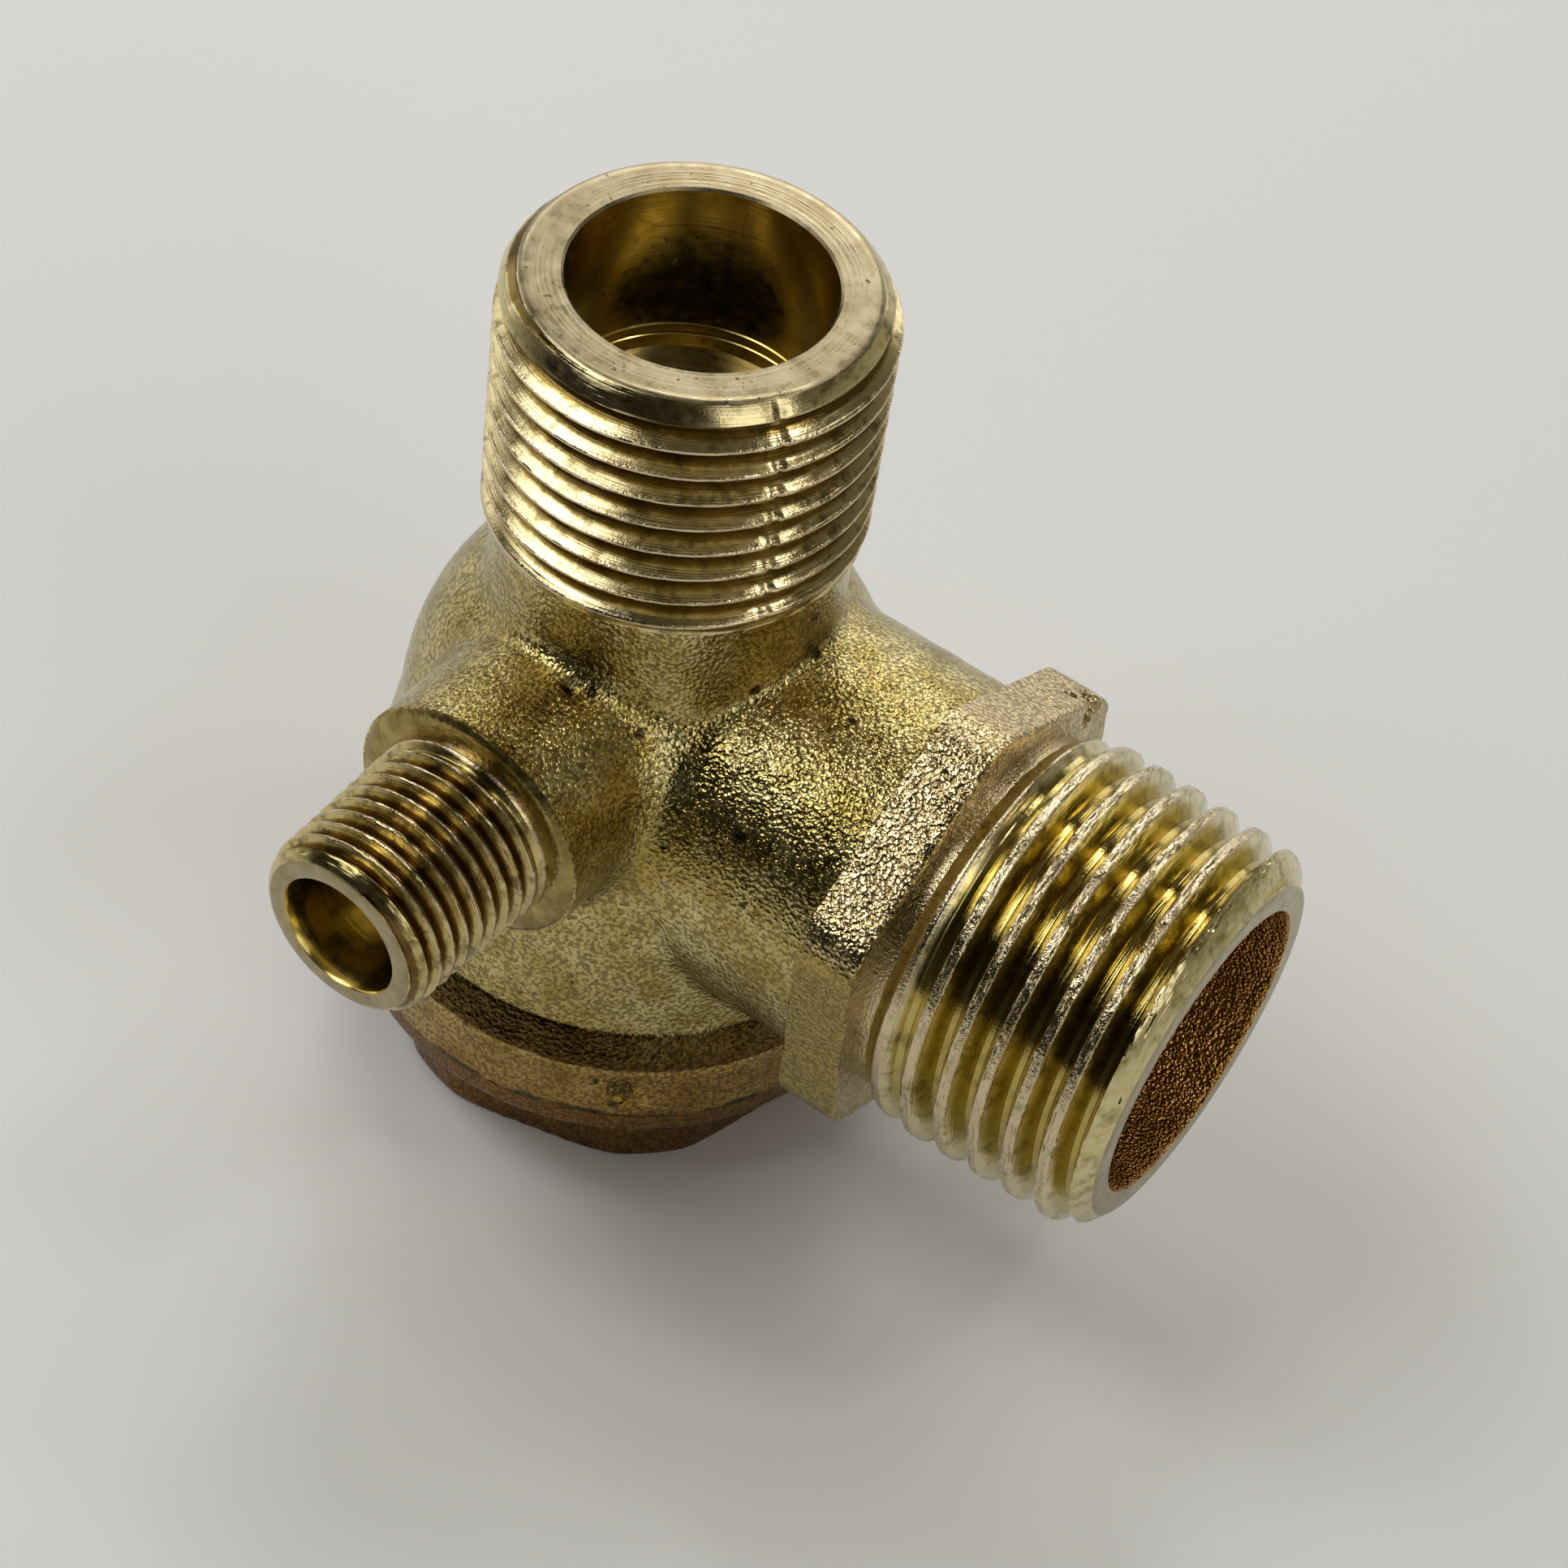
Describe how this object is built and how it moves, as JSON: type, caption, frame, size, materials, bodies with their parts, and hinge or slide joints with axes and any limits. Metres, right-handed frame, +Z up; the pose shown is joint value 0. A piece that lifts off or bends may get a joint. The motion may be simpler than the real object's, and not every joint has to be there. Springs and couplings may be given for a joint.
{
  "type": "non-return valve",
  "caption": "Three-way brass non-return valve for an air compressor: inlet on top, larger outlet at 90 degrees, small unloader port and a sprung poppet behind a hexagonal cap.",
  "frame": {"origin": "centre of the hexagonal cap's underside, on the inlet port's axis", "axes": "+Z up along the inlet port, +X along the outlet port, the unloader port points to -Y"},
  "size_m": [0.0463, 0.0376, 0.0483],
  "materials": {
    "brass_body": "blasted forging with machined threads",
    "brass_cap": "dull forging",
    "brass_turned": "turned",
    "rubber": "matte",
    "spring_steel": "drawn wire"
  },
  "bodies": {
    "housing": {"body": "brass_body", "cap": "brass_cap", "cap_o_ring": "rubber", "return_spring": "spring_steel"},
    "poppet": {"valve_holder": "brass_turned", "seal_disc": "rubber"}
  },
  "joints": [
    {"name": "valve_lift", "type": "slide", "parent": "housing", "child": "poppet", "axis": [0, 0, -1], "range_m": [0, 0.003], "stiffness_N_per_m": 120, "springref_m": -0.004, "deforming": ["return_spring"]}
  ]
}
